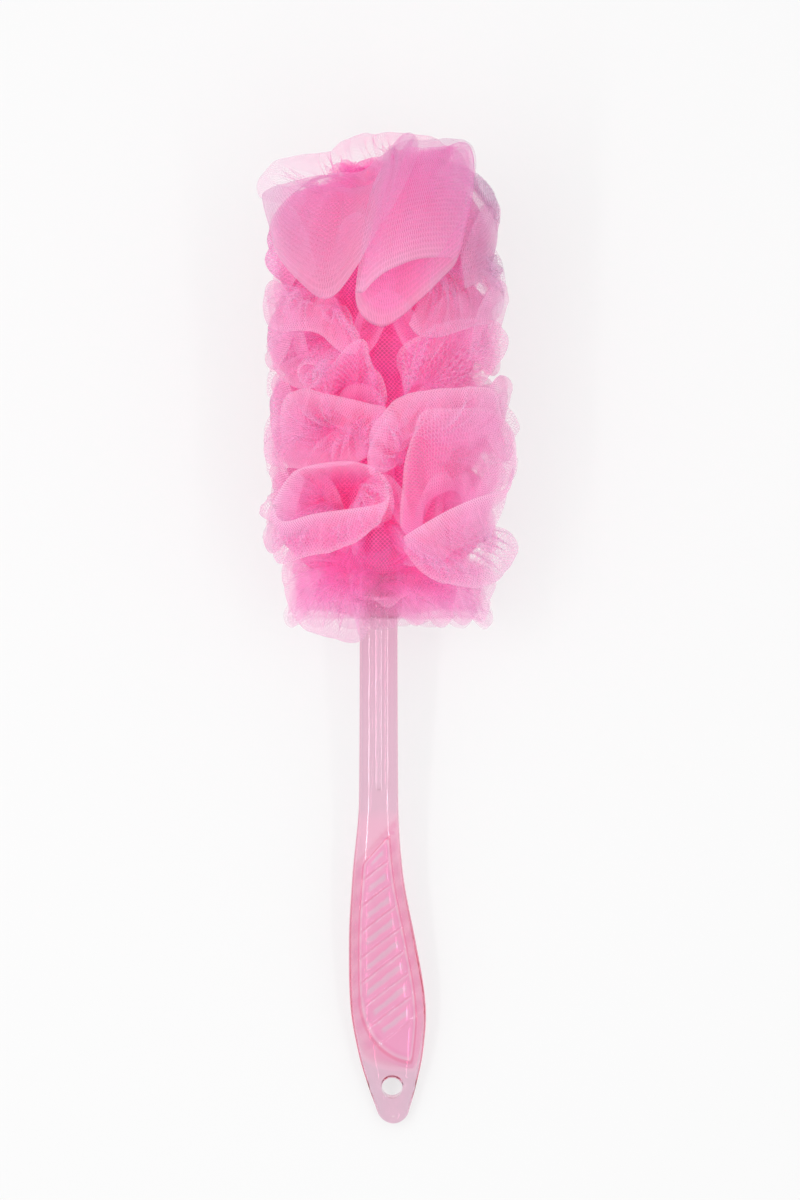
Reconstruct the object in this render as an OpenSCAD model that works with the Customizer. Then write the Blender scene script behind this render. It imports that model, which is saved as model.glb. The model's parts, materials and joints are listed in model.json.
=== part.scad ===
// Loofah back scrubber: five gathered netting ruffs tied along the core rod of a moulded handle.
// It lies on a surface at z = 0, head towards +Y, on its grip end and the squashed netting.
// The handle is drawn in its own frame: y along it from the hanging hole, z through its thickness.

/* [Handle] */
// Width of the neck and of the core rod inside the netting
neck_w = 15.8; // [15:0.2:18]
// Thickness of the neck and of the core rod
neck_t = 10; // [9:0.5:12]
// Width of the grip at its widest
grip_w = 30.4; // [27:0.2:33]
// Thickness of the grip at its thickest
grip_t = 13; // [11.5:0.5:15]
// Thickness of the flat end around the hanging hole
end_t = 7; // [5:0.5:9]
// Distance from the hanging hole to the start of the straight neck
grip_len = 118; // [112:1:124]
// Sideways offset of the hanging hole from the neck's centre line
hole_offset = 5.4; // [4:0.2:7]
// Radius of the rounded grip end, seen from above
end_r = 6.6; // [6:0.2:7.4]
// Angle of the handle above the surface as the scrubber lies
lie_angle = 7.5; // [6.5:0.25:8.5]

/* [Hanging hole] */
// Diameter of the hanging hole
hole_d = 8.4; // [6:0.2:10]
// Distance from the grip end to the centre of the hanging hole
hole_in = 15; // [14:0.5:17]

/* [Neck channels] */
// Width of the long channel in each flat side of the neck
channel_w = 6.2; // [4:0.2:7]
// Depth of the channels
channel_d = 1.2; // [0.6:0.1:1.6]
// Length of the channels
channel_len = 98; // [60:1:110]

/* [Grip panel] */
// Number of slanting ribs in the thumb panel
rib_count = 8; // [5:1:8]
// Spacing of the ribs along the handle
rib_pitch = 10.4; // [8:0.2:10.4]
// Angle of the ribs across the handle
rib_angle = 38; // [30:1:45]
// Depth of the step between one rib and the next
rib_d = 1.8; // [1:0.1:2.4]
// Depth of the panel below the top of the grip
panel_d = 1.1; // [0.6:0.1:1.6]
// Plain border between the panel and the edge of the grip
panel_border = 4; // [3:0.2:5]

/* [Netting] */
// Distance from the hanging hole to the lower edge of the netting
head_from = 182; // [178:1:186]
// Reach of the crown netting from its own centre
crown_r = 49; // [46:0.5:50]
// Reach of the upper netting
upper_r = 48; // [46:0.5:50]
// Reach of the middle netting
middle_r = 50.5; // [48:0.5:52]
// Reach of the lower netting
lower_r = 49; // [46:0.5:50]
// Reach of the skirt netting
skirt_r = 44; // [40:0.5:48]
// Length of each ruff along the rod
ruff_len = 35; // [33:0.5:36]
// Length of the crown netting along the rod
crown_len = 61; // [56:0.5:64]
// Height of the netting as a share of its width
head_flat = 0.93; // [0.88:0.01:1]
// Depth of the scallops round each ruff, as a share of its reach
scallop = 0.09; // [0:0.01:0.12]

/* [Tie cords] */
// Diameter of the nylon tie cord
cord_d = 1.5; // [1.2:0.1:1.6]
// Diameter of the knot in each tie
knot_d = 2.4; // [2:0.1:2.6]

/* [Hidden] */

section_power = 2.5;      // squareness of the handle's oval section
section_n = 32;           // points round the handle
ruff_n = 48;              // points round each ruff
slack = 0.2;              // cord in its hole
cord_gap = 0.05;          // cord above the floor of its groove
net_gap = 1.3;            // netting round the rod, clear of the knot
ruff_gap = 1;             // between one ruff and the next
rod_past_tie = 11;        // rod beyond the crown tie

// Where each ruff starts and where its cord is, along the handle
step = ruff_len + ruff_gap;
skirt_from = head_from;
lower_from = skirt_from + step;
middle_from = lower_from + step;
upper_from = middle_from + step;
crown_from = upper_from + step;
skirt_tie_at = skirt_from + ruff_len / 2;
lower_tie_at = lower_from + ruff_len / 2;
middle_tie_at = middle_from + ruff_len / 2;
upper_tie_at = upper_from + ruff_len / 2;
crown_tie_at = crown_from + crown_len / 3;
rod_end = crown_tie_at + rod_past_tie;
head_end = crown_from + crown_len;

// The netting sits off the rod's axis by these amounts, sideways
crown_x = -1;
upper_x = 3;
middle_x = 5;
lower_x = 4;
skirt_x = 5.5;

// Half widths, centre line and half thickness along the handle, as [distance, value]
end_c = end_r - hole_in;
end_join = end_c - 0.37 * end_r;
half_widths = [[end_join, 0.93 * end_r], [0, 0.63 * grip_w / 2], [0.12 * grip_len, 0.86 * grip_w / 2],
               [0.28 * grip_len, grip_w / 2], [0.5 * grip_len, 0.89 * grip_w / 2],
               [0.74 * grip_len, 0.67 * grip_w / 2], [grip_len, neck_w / 2], [rod_end, neck_w / 2]];
centre_line = [[-hole_in, 1.1 * hole_offset], [0, hole_offset], [0.28 * grip_len, 0.7 * hole_offset],
               [0.6 * grip_len, 0.1 * hole_offset], [0.76 * grip_len, -0.07 * hole_offset],
               [grip_len, 0], [rod_end, 0]];
half_thicks = [[-hole_in, end_t / 2], [0, end_t / 2], [0.45 * grip_len, grip_t / 2],
               [0.7 * grip_len, 0.47 * grip_t], [grip_len, neck_t / 2], [rod_end, neck_t / 2]];

// Smooth cubic through a list of [distance, value] stations
function slope(t, i) =
    let (a = max(i - 1, 0), b = min(i + 1, len(t) - 1)) (t[b][1] - t[a][1]) / (t[b][0] - t[a][0]);
function part_of(t, y, i = 0) = i >= len(t) - 2 || y <= t[i + 1][0] ? i : part_of(t, y, i + 1);
function smooth(t, y) =
    let (i = part_of(t, y), h = t[i + 1][0] - t[i][0], u = (y - t[i][0]) / h)
    (2 * u ^ 3 - 3 * u ^ 2 + 1) * t[i][1] + (u ^ 3 - 2 * u ^ 2 + u) * h * slope(t, i)
    + (3 * u ^ 2 - 2 * u ^ 3) * t[i + 1][1] + (u ^ 3 - u ^ 2) * h * slope(t, i + 1);

function bulge(v, p) = sign(v) * pow(abs(v), p);
function oval(w, t, n) =
    [for (k = [0 : n - 1])
        [w * bulge(cos(360 * k / n), 2 / section_power), t * bulge(sin(360 * k / n), 2 / section_power)]];

function half_w(y) = y < end_join ? sqrt(end_r ^ 2 - (end_c - y) ^ 2) : smooth(half_widths, y);
function half_t(y) =
    smooth(half_thicks, y) * (y < end_c ? pow(1 - pow((end_c - y) / end_r, 4), 1 / 4) : 1);
function handle_ring(y) =
    [for (p = oval(half_w(y), half_t(y), section_n)) [smooth(centre_line, y) + p[0], y, p[1]]];
handle_stations = concat([for (a = [12 : 12 : 72]) end_c - end_r * cos(a)],
                         [for (k = [0 : 26]) end_c + (grip_len + 4 - end_c) * k / 26], [rod_end]);
handle_rings = [for (y = handle_stations) handle_ring(y)];

// The handle's lowest point touches the surface, and the whole is centred on the origin
hole_z = -min([for (r = handle_rings) for (p = r) p[1] * sin(lie_angle) + p[2] * cos(lie_angle)]);
hole_y = (hole_in - head_end) * cos(lie_angle) / 2;
neck_x = (crown_r - crown_x - middle_r - middle_x) / 2;
function surface_z(y) = -(hole_z + y * sin(lie_angle)) / cos(lie_angle);

// Groove and hole that hold each tie cord
groove_w = knot_d + 0.4;
groove_r = neck_t / 2 - cord_d - cord_gap;
groove_x = neck_w / 2 - neck_t / 2;
loop_r = groove_r + cord_gap + cord_d / 2;

// Closed skin over rings of points, wrapped back to the first ring or capped at both ends
module skin(rings, wrap = false) {
    n = len(rings[0]);
    m = len(rings);
    sides = [for (j = [0 : wrap ? m - 1 : m - 2]) for (i = [0 : n - 1])
        let (a = j * n + i, b = j * n + (i + 1) % n, c = (j + 1) % m * n + (i + 1) % n, d = (j + 1) % m * n + i)
        each [[a, b, c], [a, c, d]]];
    caps = wrap ? [] : [[for (i = [n - 1 : -1 : 0]) i], [for (i = [0 : n - 1]) (m - 1) * n + i]];
    polyhedron(points = [for (r = rings) each r], faces = concat(sides, caps));
}

// Places the handle's frame on the surface
module laid() {
    translate([neck_x, hole_y, hole_z]) rotate([lie_angle, 0, 0]) children();
}

module round_bar(d, from, to) {
    translate([from, 0, 0]) rotate([0, 90, 0]) cylinder(d = d, h = to - from, $fn = 48);
}

// Long shallow channel with round ends, cut into one flat side of the neck
module channel() {
    r = (channel_w ^ 2 / 4 + channel_d ^ 2) / (2 * channel_d);
    from = grip_len + 2 + channel_w / 2;
    translate([0, from, neck_t / 2 - channel_d + r]) {
        rotate([-90, 0, 0]) cylinder(r = r, h = channel_len, $fn = 64);
        for (y = [0, channel_len]) translate([0, y, 0]) sphere(r = r, $fn = 64);
    }
}

// Outline of the thumb panel: parallel to the grip's edges, round at its foot, slanting at its head
module panel_outline() {
    foot_y = 0.32 * grip_len;
    head_y = 0.78 * grip_len;
    right_x = smooth(centre_line, foot_y) + half_w(foot_y) - panel_border + 0.6;
    left_x = smooth(centre_line, foot_y) - half_w(foot_y) + panel_border;
    ups = [for (k = [0 : 10]) foot_y + (head_y - foot_y) * k / 10];
    left = [for (y = ups) [smooth(centre_line, y) - half_w(y) + panel_border, y]];
    right = [for (y = ups) [smooth(centre_line, y) + half_w(y) - panel_border, y]];
    foot = [for (a = [270 : -15 : 195])
        [right_x + (right_x - left_x) * cos(a), foot_y + (foot_y - hole_d - 2) * sin(a)]];
    head = [right[10] + [0, 13]];
    polygon(concat(foot, left, head, [for (k = [10 : -1 : 0]) right[k]]));
}

// Saw-tooth cutter for the slanting ribs, turned to their angle across the grip
module rib_cutter() {
    pitch = rib_pitch * cos(rib_angle);
    top = grip_t / 2 - panel_d;
    first = -4 * pitch;
    teeth = [for (k = [0 : rib_count]) each [[first + k * pitch, top - rib_d], [first + (k + 1) * pitch, top]]];
    last = first + (rib_count + 1) * pitch;
    translate([0, grip_len / 2, 0]) rotate([0, 0, rib_angle]) translate([-40, 0, 0]) rotate([90, 0, 90])
        linear_extrude(80) polygon(concat(teeth, [[last, grip_t], [first, grip_t]]));
}

module handle() {
    color("#EDB4CF") laid() difference() {
        skin(handle_rings);
        translate([hole_offset, 0, -grip_t]) cylinder(d = hole_d, h = 2 * grip_t, $fn = 96);
        for (side = [0, 1]) mirror([0, 0, side]) channel();
        intersection() {
            translate([0, 0, -grip_t]) linear_extrude(3 * grip_t) panel_outline();
            rib_cutter();
        }
        for (y = [skirt_tie_at, lower_tie_at, middle_tie_at, upper_tie_at, crown_tie_at])
            translate([0, y, 0]) tie_seat();
    }
}

// Groove round the rod with a hole through it, for one cord
module tie_seat() {
    difference() {
        cube([2 * neck_w, groove_w, 2 * neck_t], center = true);
        cube([2 * groove_x, neck_w, 2 * groove_r], center = true);
        for (s = [-1, 1]) translate([s * groove_x, 0, 0])
            rotate([90, 0, 0]) cylinder(r = groove_r, h = neck_w, center = true, $fn = 48);
    }
    round_bar(cord_d + 2 * slack, -neck_w, neck_w);
}

// Ring of netting points at one place of its profile: 0 on the rod and 1 at the rim
function net_ring(y, out, reach, x, lobes, turn) =
    let (bore = oval(neck_w / 2 + net_gap, neck_t / 2 + net_gap, ruff_n))
    [for (k = [0 : ruff_n - 1])
        let (a = 360 * k / ruff_n,
             r = reach * (1 - scallop * (1 - cos(lobes * a + turn)) / 2),
             p = bore[k] + out * ([x + r * cos(a), r * head_flat * sin(a)] - bore[k]))
        [p[0], y, max(p[1], surface_z(y))]];

// Gathered ruff round the rod, flat where it lies on the surface
module ruff(from, reach, x, lobes, turn) {
    rings = [for (a = [-90 : 18 : 90])
        net_ring(from + ruff_len / 2 * (1 + bulge(sin(a), 0.7)), pow(max(cos(a), 0), 0.4), reach, x, lobes, turn)];
    laid() skin(rings, wrap = true);
}

// Crown: a domed ruff that closes over the end of the rod
module crown() {
    low = crown_len / 3;
    foot = [for (a = [-90 : 18 : -18])
        net_ring(crown_tie_at + low * bulge(sin(a), 0.7), pow(max(cos(a), 0), 0.4), crown_r, crown_x, 7, 40)];
    dome = [for (a = [0 : 12 : 84])
        net_ring(crown_tie_at + (crown_len - low) * bulge(sin(a), 0.9), pow(cos(a), 0.6), crown_r, crown_x, 7, 40)];
    pocket = [net_ring(rod_end + net_gap, 0, crown_r, crown_x, 7, 40)];
    laid() skin(concat(pocket, foot, dome));
}

module crown_netting() { color("#F08CBE") crown(); }
module upper_netting() { color("#F279B4") ruff(upper_from, upper_r, upper_x, 8, 0); }
module middle_netting() { color("#F18ABB") ruff(middle_from, middle_r, middle_x, 7, 90); }
module lower_netting() { color("#F27FB5") ruff(lower_from, lower_r, lower_x, 8, 200); }
module skirt_netting() { color("#F295C2") ruff(skirt_from, skirt_r, skirt_x, 9, 60); }

// Tie cord: a loop in its groove, passed through the rod and knotted
module tie(at) {
    color("#F7C9DE") laid() translate([0, at, 0]) rotate([90, 0, 0]) {
        for (s = [-1, 1]) {
            translate([s * groove_x, 0, 0]) rotate([0, 0, -90 * s])
                rotate_extrude(angle = 180, $fn = 48) translate([loop_r, 0]) circle(d = cord_d, $fn = 24);
            translate([0, s * loop_r, 0]) round_bar(cord_d, -groove_x, groove_x);
        }
        round_bar(cord_d, -groove_x - loop_r, groove_x + loop_r);
        translate([groove_x + groove_r + cord_gap + knot_d / 2, 0, 0]) sphere(d = knot_d, $fn = 32);
    }
}

module crown_tie() { tie(crown_tie_at); }
module upper_tie() { tie(upper_tie_at); }
module middle_tie() { tie(middle_tie_at); }
module lower_tie() { tie(lower_tie_at); }
module skirt_tie() { tie(skirt_tie_at); }

handle();
crown_netting();
upper_netting();
middle_netting();
lower_netting();
skirt_netting();
crown_tie();
upper_tie();
middle_tie();
lower_tie();
skirt_tie();
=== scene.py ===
# Loofah back scrubber: a see-through handle with five ruffs of gathered netting tied along its rod.
import json
import math

import bpy
import numpy as np
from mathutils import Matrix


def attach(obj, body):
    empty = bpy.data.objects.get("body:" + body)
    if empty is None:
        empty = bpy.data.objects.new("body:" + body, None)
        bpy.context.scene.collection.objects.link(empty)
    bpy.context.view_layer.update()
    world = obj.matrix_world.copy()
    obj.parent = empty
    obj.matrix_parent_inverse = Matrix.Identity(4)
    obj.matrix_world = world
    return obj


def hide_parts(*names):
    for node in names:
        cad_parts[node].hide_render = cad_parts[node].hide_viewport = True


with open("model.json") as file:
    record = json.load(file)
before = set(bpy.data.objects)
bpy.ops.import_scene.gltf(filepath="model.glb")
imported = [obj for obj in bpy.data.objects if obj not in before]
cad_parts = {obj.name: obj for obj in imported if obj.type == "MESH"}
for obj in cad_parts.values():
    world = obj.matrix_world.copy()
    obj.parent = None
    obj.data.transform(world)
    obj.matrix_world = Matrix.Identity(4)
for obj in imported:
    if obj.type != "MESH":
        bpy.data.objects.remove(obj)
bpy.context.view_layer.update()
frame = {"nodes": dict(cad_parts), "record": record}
mm = 0.001
tau = 2 * math.pi
scene = bpy.context.scene

# The hanging hole's place and tilt give the handle's frame: y along the handle, z through its thickness
hangHole = next(m for m in frame["record"]["mounts"] if m["name"] == "hang_hole")
holePlace = np.array(hangHole["pos_m"]) / mm
lieAngle = math.atan2(-hangHole["axis"][1], hangHole["axis"][2])
holeOffset = 5.4                      # hole's distance from the rod's centre line
rodX = holePlace[0] - holeOffset
headFrom = 180.6                      # hole to the netting's lower edge, seen from above
headY = holePlace[1] + headFrom


# Height of the rod's centre line over the floor: a straight line that climbs at the handle's tilt.
def rodHeight(y):
    return holePlace[2] + (headFrom + y) * math.tan(lieAngle)


# Handle frame to world: turned about X by the tilt, then moved so that the hole is in its place.
def laid(points):
    x, y, z = points[..., 0], points[..., 1], points[..., 2]
    c, s = math.cos(lieAngle), math.sin(lieAngle)
    return np.stack([x + rodX, y * c - z * s + holePlace[1], y * s + z * c + holePlace[2]], -1)


# A new object at the origin with its mesh in metres, smooth, with one UV map and one value layer a key.
def putMesh(name, verts, faces, uvs, layers):
    mesh = bpy.data.meshes.new(name)
    mesh.from_pydata((verts * mm).tolist(), [], faces.tolist())
    mesh.polygons.foreach_set("use_smooth", np.ones(len(mesh.polygons), bool))
    uvMap = mesh.uv_layers.new(name="netUv")
    corners = np.empty(len(mesh.loops), np.int32)
    mesh.loops.foreach_get("vertex_index", corners)
    uvMap.data.foreach_set("uv", uvs[corners].ravel().astype(np.float32))
    for key, values in layers.items():
        layer = mesh.attributes.new(key, "FLOAT", "POINT")
        layer.data.foreach_set("value", values.astype(np.float32))
    piece = bpy.data.objects.new(name, mesh)
    scene.collection.objects.link(piece)
    return piece


# Quads of a grid of nu by nv points, joined round in u when it is closed.
def gridFaces(nu, nv, closed):
    i, j = np.meshgrid(np.arange(nu if closed else nu - 1), np.arange(nv - 1), indexing="ij")
    a = i * nv + j
    b = ((i + 1) % nu) * nv + j
    return np.stack([a, b, b + 1, a + 1], -1).reshape(-1, 4)


# Catmull-Rom curve through the points, then sampled n times at equal steps along its length.
def throughPoints(points, n, closed):
    p = np.array(points, float)
    if closed:
        q = np.vstack([p[-1], p, p[:2]])
        spans = len(p)
    else:
        q = np.vstack([2 * p[0] - p[1], p, 2 * p[-1] - p[-2]])
        spans = len(p) - 1
    t = np.linspace(0, spans, spans * 40 + 1)
    i = np.minimum(t.astype(int), spans - 1)
    f = (t - i)[:, None]
    a, b, c, d = q[i], q[i + 1], q[i + 2], q[i + 3]
    dense = b + 0.5 * f * (c - a + f * (2 * a - 5 * b + 4 * c - d + f * (3 * (b - c) + d - a)))
    run = np.concatenate([[0], np.cumsum(np.linalg.norm(np.diff(dense, axis=0), axis=1))])
    at = np.linspace(0, run[-1], n + 1)[:-1] if closed else np.linspace(0, run[-1], n)
    return np.stack([np.interp(at, run, dense[:, k]) for k in range(3)], 1), run[-1]


# Each vector divided by its length.
def unit(v):
    return v / np.maximum(np.linalg.norm(v, axis=-1, keepdims=True), 1e-9)


# Difference between each point's two neighbours along the rim.
def stepAcross(s, closed):
    return (np.roll(s, -1, 0) - np.roll(s, 1, 0)) / 2 if closed else np.gradient(s, axis=0)


# One fold of netting, from its root at the rod out to its rim and back in a second layer.
# Its middle surface is a cubic curve from root to rim for each place u along the rim: it leaves the
# root along rise, reaches the rim along fall, and belly pushes it away from the fold's own middle.
# over, when given, is how far along the head the curve's handles reach at the rim's start and end.
# Pleats, sines of u that fade at root and rim, move it along its normal. The two layers lie half a
# puff to each side of it, and the puff closes at the rim as a root of 1 minus t to the tenth. thin is
# the share of threads and knit how fine their cells are; the two that follow them give a duller pink,
# a painted sheen and shade, and a deeper pink on the layer that faces in, a painted shade.
def foldOfNet(rim, root, rise, fall=(0, 0, 0), over=None, belly=0.0, spread=7.0, puff=5.0, pleats=7,
              depth=0.7, ruffle=0.5, closed=False, slant=0.0, thin=1.0, knit=1.0, dust=0.0, deep=0.0,
              seed=0, nu=90, nt=24):
    rng = np.random.default_rng(seed)
    c, rimLength = throughPoints(rim, nu, closed)
    u = (np.arange(nu) / nu if closed else np.linspace(0, 1, nu))[:, None]
    t = 1 - (1 - np.linspace(0, 1, nt)) ** 1.5
    away = unit(c - c.mean(0))
    k = np.array(root, float) + spread * away
    b1 = k + np.array(rise, float) + belly * away
    b2 = c + np.array(fall, float) + 0.35 * belly * away
    if over is not None:
        b1[:, 1] = b2[:, 1] = over[0] + (over[1] - over[0]) * u[:, 0]
    tt = t[None, :, None]
    m = ((1 - tt) ** 3 * k[:, None] + 3 * (1 - tt) ** 2 * tt * b1[:, None]
         + 3 * (1 - tt) * tt ** 2 * b2[:, None] + tt ** 3 * c[:, None])
    n = unit(np.cross(stepAcross(m, closed), np.gradient(m, axis=1)))
    p = rng.random(8)
    wave = u + 0.04 * np.sin(tau * (2 * u + p[0])) + 0.02 * np.sin(tau * (5 * u + p[1]))
    inside = np.sin(math.pi * t ** 0.8)[None, :]
    outside = (t ** 2)[None, :]
    many = round(pleats)
    few = max(1, round(0.4 * pleats))
    lift = depth * inside * np.sin(tau * (many * wave + p[2] + 0.25 * t[None, :] * (p[3] - 0.5)))
    lift += 0.4 * depth * inside * np.sin(tau * (round(2.3 * pleats) * wave + p[4] + 0.3 * t[None, :]))
    lift += ruffle * outside * np.sin(tau * (few * wave + p[5]))
    lift += 0.4 * ruffle * outside * np.sin(tau * (many * wave + p[6]))
    gap = puff * np.sqrt(np.clip(1 - t ** 10, 0, 1)) * np.clip(t / 0.25, 0, 1)
    gap = np.repeat(gap[None, :], nu, 0)
    if not closed:
        lift *= np.clip(np.minimum(u, 1 - u) / 0.06, 0, 1)
        gap = gap * np.sqrt(np.clip(1 - np.abs(2 * u - 1) ** 14, 0, 1))
    m = m + n * lift[..., None]
    n = unit(np.cross(stepAcross(m, closed), np.gradient(m, axis=1)))
    top = m + n * gap[..., None] / 2
    low = m - n * gap[..., None] / 2
    s = np.concatenate([top, low[:, -2::-1]], 1)
    along = np.concatenate([t, 2 - t[-2::-1]])
    width = rimLength * 1.15          # the cloth is gathered a little along the rim
    length = np.linalg.norm(c - k, axis=1).mean() * 1.2
    shape = s.shape[:2]
    uv = knit * np.stack([np.broadcast_to(u * width, shape) + slant * along * length,
                          np.broadcast_to(along * length, shape)], -1)
    across = np.linalg.norm(stepAcross(s, closed), axis=-1)
    crowd = thin * np.clip(width / nu / np.maximum(across, 1e-6), 0.6, 5) ** 0.75
    toRim = np.broadcast_to(1 - np.minimum(along, 2 - along), shape)
    outward = away[:, None] if closed else m * [1, 0, 1] - [0, 0, root[2]]
    lowIsInside = (n * outward).sum(-1).mean() > 0
    # painted shade: the layer that faces in takes a deeper pink, inside a mouth
    deep = np.broadcast_to(np.where((along > 1.03) == lowIsInside, deep, 0.0), shape)
    dust = np.full(shape, dust)
    return dict(points=s, uv=uv, crowd=crowd, toRim=toRim, dust=dust, deep=deep, closed=closed)


# The heart of a ruff: netting drawn tight round the rod, a ring whose radius rises and falls in pleats.
# When capped, it closes over the rod's end, as a root of the way that is left.
def heartOfNet(y0, y1, radius, seed, flat, wide, crowd, capped, nu=160, nv=24):
    rng = np.random.default_rng(seed)
    a = (tau * np.arange(nu) / nu)[:, None]
    v = np.linspace(0, 1, nv)[None, :]
    swell = np.sin(math.pi * v) ** 0.35
    pleat = 1 + 0.10 * np.sin(13 * a + 4 * np.sin(math.pi * v + rng.random() * 6))
    pleat = pleat + 0.06 * np.sin(29 * a + rng.random() * 6 + 5 * v)
    pleat = pleat + 0.06 * np.sin(5 * a + 3 * v + rng.random() * 6)
    tied = 6.5                        # radius where the cord draws it tight
    r = tied + (radius - tied) * swell * pleat
    if capped:
        r = r * np.sqrt(np.clip((1 - v) / 0.12, 0, 1))
    y = y0 + (y1 - y0) * v + 0 * a
    s = np.stack([wide * r * np.cos(a), y, rodHeight(y) + flat * r * np.sin(a)], -1)
    uv = np.stack([a / tau * 9 * radius + 0 * v, v * (y1 - y0) * 1.5 + 0 * a], -1)
    shape = s.shape[:2]
    plain = np.zeros(shape)
    return dict(points=s, uv=uv, crowd=np.full(shape, crowd), toRim=np.ones(shape), dust=plain, deep=plain,
                closed=True)


# Keeps netting off the floor: heights near it are eased up along a soft corner.
def overFloor(z, least=0.8, ease=2.0):
    x = (z - least) / ease
    return least + ease * np.where(x > 20, x, np.log1p(np.exp(np.minimum(x, 20))))


# Joins folds into one piece of netting, moved from head measures to the world. Its area, in square mm,
# is half the cross product of each quad's diagonals.
def nettingPiece(name, folds):
    faces = []
    start = 0
    for f in folds:
        nu, nv = f["points"].shape[:2]
        faces.append(gridFaces(nu, nv, f["closed"]) + start)
        start += nu * nv
    v = np.concatenate([f["points"].reshape(-1, 3) for f in folds])
    v = np.stack([v[:, 0] + rodX, v[:, 1] + headY, overFloor(v[:, 2])], -1)
    quads = np.concatenate(faces)
    uvs = np.concatenate([f["uv"].reshape(-1, 2) for f in folds])
    keys = ["crowd", "toRim", "dust", "deep"]
    layers = {key: np.concatenate([f[key].ravel() for f in folds]) for key in keys}
    diagonals = np.cross(v[quads[:, 2]] - v[quads[:, 0]], v[quads[:, 3]] - v[quads[:, 1]])
    area = np.linalg.norm(diagonals, axis=1).sum() / 2
    return putMesh(name, v, quads, uvs * mm, layers), area


# Rim places and the root are x from the rod, y from the netting's lower edge, and h over the rod.
def fold(rim, root, **shape):
    rim = [(x, y, rodHeight(y) + h) for x, y, h in rim]
    root = (root[0], root[1], rodHeight(root[1]) + root[2])
    return foldOfNet(rim, root, **shape)


# The large folds that face up, ruff by ruff, from the head's end down
crownFolds = [
    # left lobe
    fold([(14, 188, 29), (6, 171, 35), (-4, 153, 40), (-9, 145, 40), (-16, 136, 37), (-22, 134, 34),
          (-29, 139, 28), (-38, 150, 18), (-42, 162, 12), (-46, 176, 8)],
         (0, 164, 8), rise=(4, 0, 30), fall=(4, 0, 14), over=(203, 183), puff=6, pleats=3, depth=0.5,
         slant=0.5, knit=1.9, dust=0.8, seed=1, nu=120, nt=30),
    # scoop that opens towards the grip
    fold([(-9, 136, 39), (-8, 130, 37), (-4, 125, 36), (2, 123, 35), (8, 126, 35), (15, 132, 35),
          (23, 140, 34), (30, 149, 31), (16, 149, 41), (5, 145, 44), (-2, 140, 43), (-6, 136, 41)],
         (4, 166, 8), rise=(20, 0, 30), fall=(14, 0, 12), over=(205, 205), belly=4, puff=3, pleats=4,
         depth=0.5, closed=True, slant=0.6, knit=1.9, dust=0.8, deep=0.75, seed=2, nu=120, nt=30),
    # thin veil round the head's end
    fold([(-47, 176, 6), (-47, 182, 8), (-42, 187, 10), (-33, 190, 12), (-21, 192, 14), (-12, 196, 16),
          (-4, 199, 17), (5, 199, 17), (16, 198, 17), (24, 196, 16), (29, 193, 14), (33, 188, 12),
          (37, 181, 8)],
         (0, 168, 2), rise=(0, 10, 20), fall=(0, -6, 8), spread=12, puff=5, pleats=9, depth=1.1, ruffle=0.9,
         thin=0.48, knit=1.6, seed=3, nu=140),
    # right lobe
    fold([(28, 194, 18), (33, 189, 18), (36, 181, 18), (41, 173, 16), (47, 167, 12), (47, 160, 10),
          (46, 154, 12), (43, 144, 16), (34, 138, 26)],
         (4, 165, 8), rise=(6, 0, 34), fall=(-4, 0, 10), over=(192, 186), puff=6, pleats=4, depth=0.4,
         knit=1.8, dust=1.0, seed=5),
    # shell beside the scoop
    fold([(12, 124, 33), (16, 120, 33), (23, 119, 32), (30, 121, 30), (37, 124, 24), (44, 126, 16),
          (46, 130, 12), (46, 138, 12), (44, 146, 14)],
         (12, 152, 4), rise=(24, 0, 20), fall=(4, 12, 6), puff=7, pleats=4, knit=1.6, dust=0.6, seed=6),
    # pale lobe on the right
    fold([(38, 176, 12), (44, 171, 9), (47, 165, 8), (46, 156, 9), (44, 150, 10), (47, 141, 8),
          (46, 131, 10)],
         (24, 152, 16), rise=(8, 0, 8), fall=(-4, 0, 5), puff=3, thin=0.45, seed=7, nu=80)]

upperFolds = [
    # arc on the left
    fold([(-44, 134, 10), (-44, 126, 12), (-40, 122, 18), (-30, 122, 26), (-23, 120, 31), (-18, 116, 33),
          (-14, 113, 34), (-9, 113, 34), (-9, 119, 35)],
         (-15, 130, 6), rise=(-14, 6, 30), fall=(0, 12, 8), pleats=5, knit=1.5, seed=11),
    # lobe under the arc
    fold([(-36, 122, 20), (-42, 116, 12), (-41, 110, 10), (-39, 106, 14), (-33, 100, 22), (-26, 100, 29),
          (-22, 106, 32)],
         (-4, 120, 8), rise=(-16, -2, 26), fall=(0, 6, 8), knit=1.4, seed=12),
    # small curl
    fold([(-30, 108, 30), (-25, 108, 33), (-23, 104, 34), (-26, 100, 31), (-31, 102, 28)],
         (-6, 116, 10), rise=(-10, -2, 20), belly=2, puff=1.5, closed=True, seed=13, nu=60),
    # pointed petal
    fold([(-25, 100, 30), (-22, 105, 32), (-16, 110, 35), (-11, 116, 37), (-6, 118, 38), (-4, 114, 38),
          (-3, 108, 38), (0, 105, 37), (2, 100, 36), (2, 93, 35)],
         (-9, 90, 26), rise=(0, 4, 12), fall=(0, -4, 2), spread=11, puff=2.5, pleats=5, depth=0.5, thin=0.8,
         knit=0.85, deep=0.2, seed=14),
    # shell on the right
    fold([(9, 112, 35), (15, 118, 35), (28, 125, 29), (40, 127, 22), (47, 126, 14), (51, 120, 12),
          (50, 114, 12), (45, 106, 16), (41, 100, 20)],
         (15, 95, 30), rise=(4, 6, 12), fall=(-6, -2, 6), spread=6, puff=3, pleats=9, depth=0.8, thin=0.8,
         knit=0.85, deep=0.5, seed=15),
    # pale lobe on the left
    fold([(-36, 113, 12), (-43, 107, 8), (-44, 99, 8), (-39, 94, 10), (-31, 94, 14)],
         (-18, 104, 12), rise=(-8, 0, 8), fall=(4, 0, 4), puff=3, thin=0.4, seed=16, nu=60)]

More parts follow.
